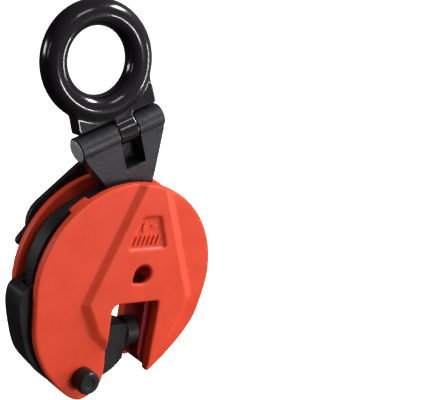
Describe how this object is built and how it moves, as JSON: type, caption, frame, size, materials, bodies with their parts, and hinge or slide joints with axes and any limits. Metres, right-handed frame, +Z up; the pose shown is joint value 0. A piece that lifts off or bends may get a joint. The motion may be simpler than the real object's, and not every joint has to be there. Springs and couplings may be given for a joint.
{
  "type": "plate lifting clamp",
  "caption": "Vertical plate lifting clamp: hinged hoisting eye on a swinging shank, two orange side plates, a toothed cam worked by a link, a swivelling jaw pad and a lock lever",
  "frame": {"origin": "centre of the hoisting eye's ring, where a crane hook holds the clamp", "axes": "+Z up, the way the load hangs; -Y out of the front side plate, the one with the label recess; +X from the cam towards the jaw pad"},
  "size_m": [0.1532, 0.0637, 0.2871],
  "materials": {
    "orange_paint": "glossy orange-red paint over cast and flame-cut steel",
    "black_finish": "smooth black coating on forged steel",
    "plain_steel": "turned plain steel, lightly oiled",
    "bronze": "bearing bronze"
  },
  "bodies": {
    "eye": {"hoist_eye": "black_finish"},
    "shank_body": {"shank": "black_finish", "hinge_pin": "plain_steel", "hinge_pin_ring": "plain_steel"},
    "carriage": {"shank_pin": "plain_steel", "guide_roller_front": "bronze", "guide_roller_rear": "bronze", "link": "black_finish"},
    "clamp_body": {"front_plate": "orange_paint", "rear_plate": "orange_paint", "jaw_block": "orange_paint", "crown_web": "orange_paint", "link_guide": "orange_paint", "cam_pin": "black_finish", "cam_pin_washer": "plain_steel", "cam_pin_nut": "black_finish", "cam_washer_front": "plain_steel", "cam_collar_rear": "plain_steel", "pad_retaining_pin": "plain_steel", "tension_spring": "plain_steel"},
    "cam_body": {"cam": "black_finish", "cam_bush": "bronze", "link_pin": "plain_steel", "spring_post": "plain_steel"},
    "lock": {"lock_lever": "black_finish", "lock_shaft": "plain_steel", "lever_washer": "plain_steel", "lever_nut": "plain_steel", "lock_crank": "black_finish", "crank_pin": "plain_steel"},
    "pad": {"swivel_pad": "black_finish"}
  },
  "joints": [
    {"name": "eye_hinge", "type": "hinge", "parent": "eye", "child": "shank_body", "pos_m": [0.01972, -0.00969, -0.04955], "axis": [0.9291, 0, 0.3697], "range_deg": [-85.3, 64.7]},
    {"name": "shank_swing", "type": "hinge", "parent": "shank_body", "child": "carriage", "pos_m": [0.03747, -0.00969, -0.09415], "axis": [0, -1, 0], "range_deg": [0, 43.4]},
    {"name": "body_lift", "type": "slide", "parent": "carriage", "child": "clamp_body", "axis": [0, 0, 1], "range_m": [0, 0.02]},
    {"name": "cam_turn", "type": "hinge", "parent": "clamp_body", "child": "cam_body", "pos_m": [0.00722, -0.00969, -0.22715], "axis": [0, -1, 0], "range_deg": [0, 56.2], "deforming": ["tension_spring"]},
    {"name": "lock_turn", "type": "hinge", "parent": "clamp_body", "child": "lock", "pos_m": [-0.01058, -0.00969, -0.12045], "axis": [0, -1, 0], "range_deg": [0, 90], "deforming": ["tension_spring"]},
    {"name": "pad_turn", "type": "hinge", "parent": "clamp_body", "child": "pad", "pos_m": [0.05342, -0.00969, -0.20245], "axis": [1, 0, 0], "continuous": true}
  ],
  "couplings": [
    {"joint": "cam_turn", "follows": "body_lift", "rad_per_m": 48.9}
  ]
}
